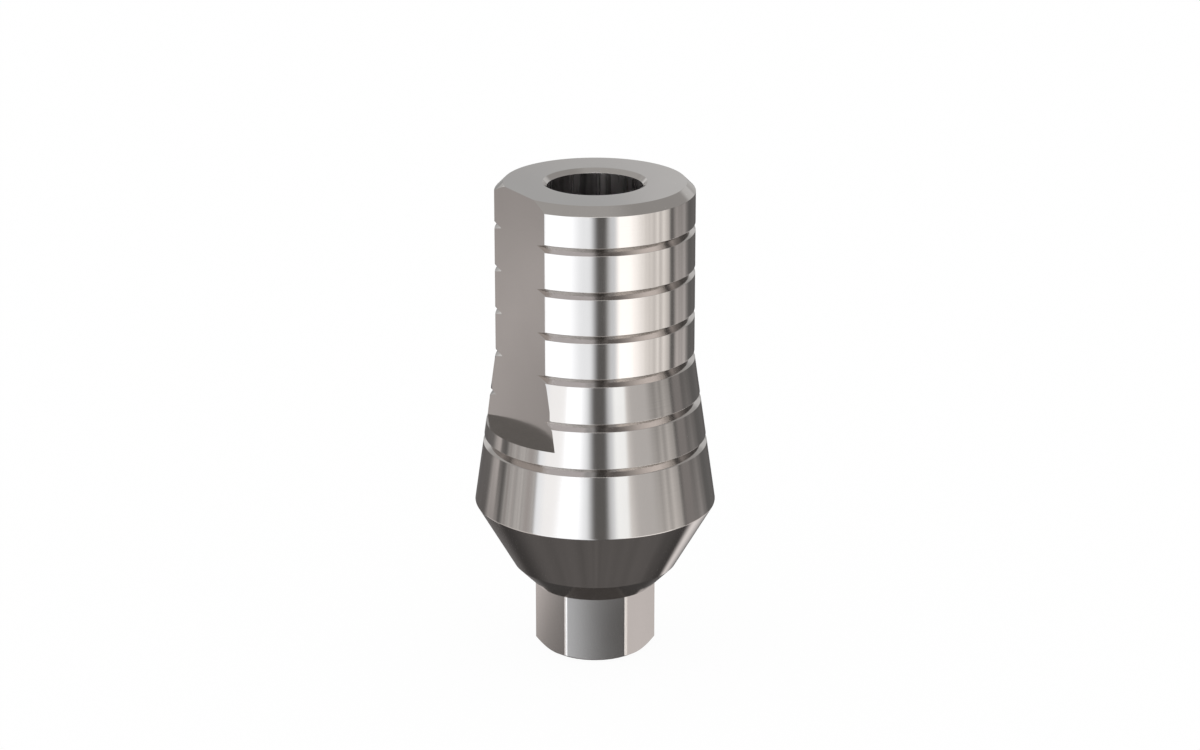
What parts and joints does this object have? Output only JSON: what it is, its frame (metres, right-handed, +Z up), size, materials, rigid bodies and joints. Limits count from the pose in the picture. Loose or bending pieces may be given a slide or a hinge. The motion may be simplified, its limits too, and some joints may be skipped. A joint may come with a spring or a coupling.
{
  "type": "dental abutment",
  "caption": "Straight implant abutment: grooved post with an anti-rotation flat, flared margin, seating bevel and hexagonal connection, with a screw channel right through.",
  "frame": {"origin": "centre of the hexagon's end face, at the foot of the part", "axes": "+Z up the part's axis from the hexagon to the post's top face; -Y out of the anti-rotation flat, square to one hexagon flat; +X to the right of that flat"},
  "size_m": [0.0054, 0.0054, 0.0111],
  "materials": {
    "titanium": "fine-turned and milled titanium alloy, bare, satin to bright"
  },
  "bodies": {
    "root": {"abutment": "titanium"}
  },
  "joints": []
}
